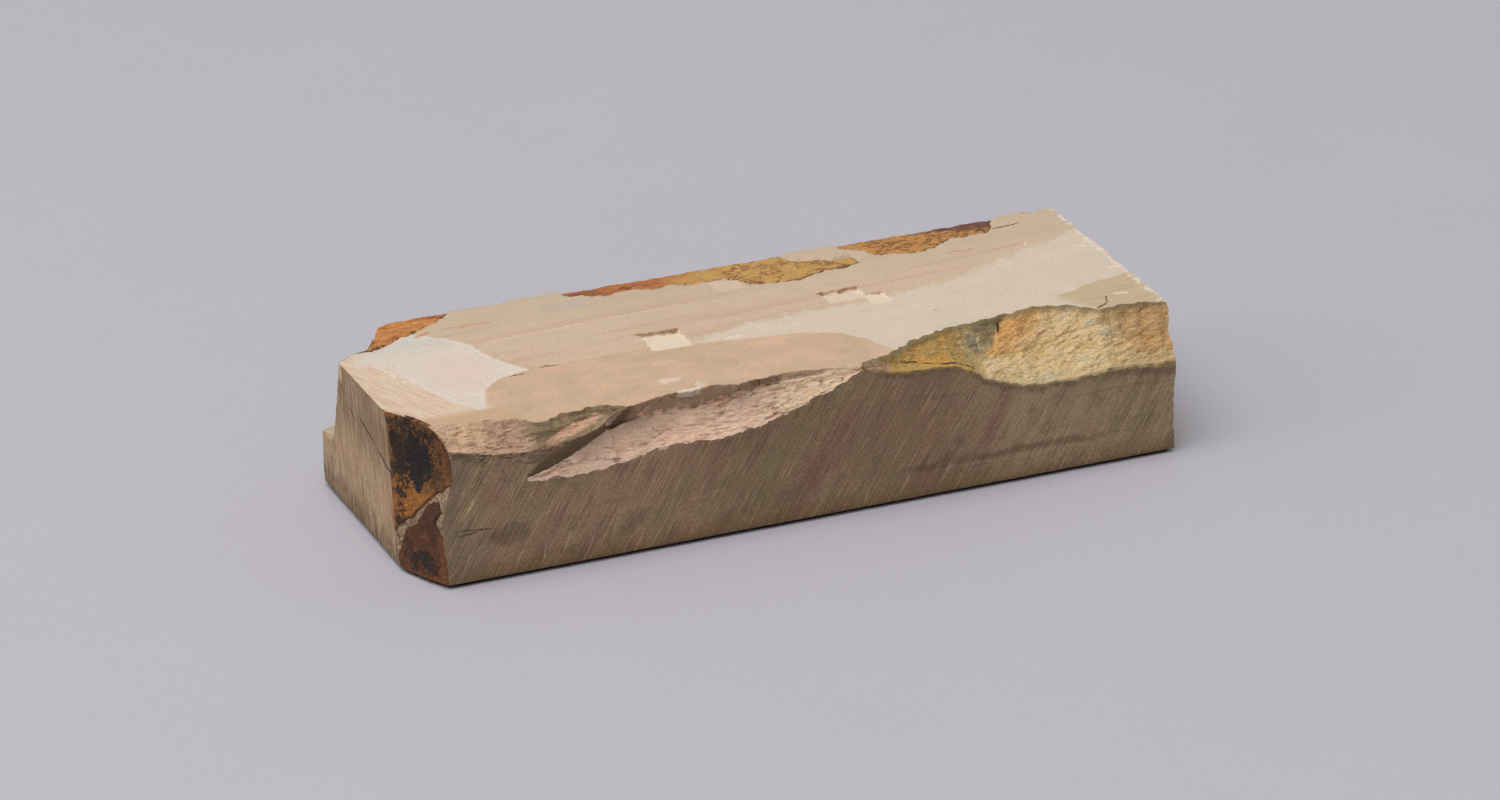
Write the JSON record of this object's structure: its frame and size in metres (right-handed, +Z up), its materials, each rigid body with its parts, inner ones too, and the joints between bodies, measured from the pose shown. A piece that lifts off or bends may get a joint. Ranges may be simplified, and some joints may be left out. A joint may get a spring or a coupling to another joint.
{
  "type": "sharpening whetstone",
  "caption": "Natural whetstone block for sharpening carving tools, with a flat working face, sawn front and left end, broken edges and iron-stained natural skins.",
  "frame": {"origin": "centre of the block's bounding box, on the base it rests on", "axes": "+X along the stone from the sawn left end to the broken right end, +Y from the sawn front face to the natural back, +Z up to the working face"},
  "size_m": [0.205, 0.073, 0.0395],
  "materials": {
    "stone": "matte",
    "corner_skin_upper": "satin",
    "corner_skin_lower": "matte",
    "front_skin": "matte",
    "rear_skin_left": "matte",
    "rear_skin_middle": "matte",
    "rear_skin_right": "matte"
  },
  "bodies": {
    "root": {"stone": "stone", "corner_skin_upper": "corner_skin_upper", "corner_skin_lower": "corner_skin_lower", "front_skin": "front_skin", "rear_skin_left": "rear_skin_left", "rear_skin_middle": "rear_skin_middle", "rear_skin_right": "rear_skin_right"}
  },
  "joints": []
}
